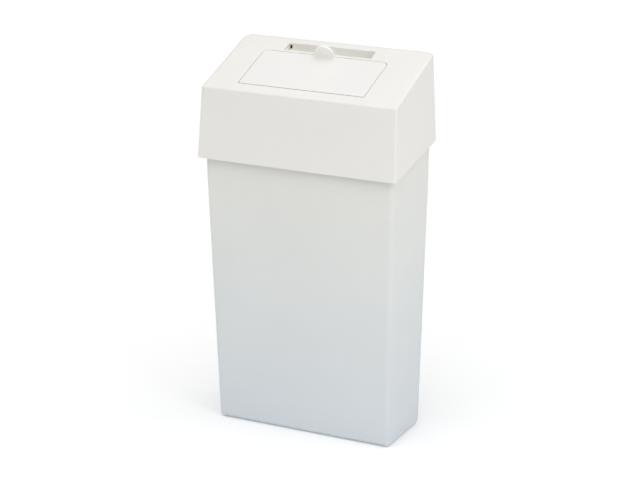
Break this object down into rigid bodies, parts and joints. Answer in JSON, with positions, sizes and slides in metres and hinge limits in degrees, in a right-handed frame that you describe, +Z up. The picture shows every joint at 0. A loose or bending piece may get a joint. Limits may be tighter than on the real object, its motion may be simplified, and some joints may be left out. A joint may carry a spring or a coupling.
{
  "type": "litter bin",
  "caption": "Slim free-standing plastic bin: a tapered tub, a tip-back hood with a sloping top, and a pull-open hopper flap with an upright finger tab.",
  "frame": {"origin": "on the floor, under the middle of the overall box", "axes": "+Z up; -Y towards the front, where the sloping top is lowest; +X to the right for someone facing the front"},
  "size_m": [0.4, 0.2, 0.7228],
  "materials": {
    "tub_plastic": "satin moulded",
    "hood_plastic": "satin moulded",
    "tray_plastic": "satin moulded",
    "ring_plastic": "satin moulded",
    "bush_nylon": "natural nylon",
    "pad_rubber": "matt",
    "bright_steel": "drawn rod",
    "spring_steel": "dark spring steel"
  },
  "bodies": {
    "tub": {"tub_shell": "tub_plastic", "liner_ring": "ring_plastic", "hood_hinge_pin_left": "bright_steel", "hood_hinge_pin_right": "bright_steel", "hinge_pin_clips": "spring_steel"},
    "hood": {"hood_shell": "hood_plastic", "recess_cup": "tray_plastic", "flap_hinge_rod": "bright_steel", "hinge_rod_clips": "spring_steel", "hinge_bush_left": "bush_nylon", "hinge_bush_right": "bush_nylon", "flap_rest_pad_left": "pad_rubber", "flap_rest_pad_right": "pad_rubber"},
    "flap": {"flap_panel": "hood_plastic", "finger_tab": "hood_plastic", "tab_screws": "bright_steel", "hopper_tray": "tray_plastic", "tray_screws": "bright_steel", "open_stop_buffer_left": "pad_rubber", "open_stop_buffer_right": "pad_rubber"}
  },
  "joints": [
    {"name": "hood_tip", "type": "hinge", "parent": "tub", "child": "hood", "pos_m": [0, 0.0955, 0.56], "axis": [-1, 0, 0], "range_deg": [0, 95]},
    {"name": "flap_pull", "type": "hinge", "parent": "hood", "child": "flap", "pos_m": [-0.005, -0.05786, 0.65631], "axis": [1, 0, 0], "range_deg": [0, 66]}
  ]
}
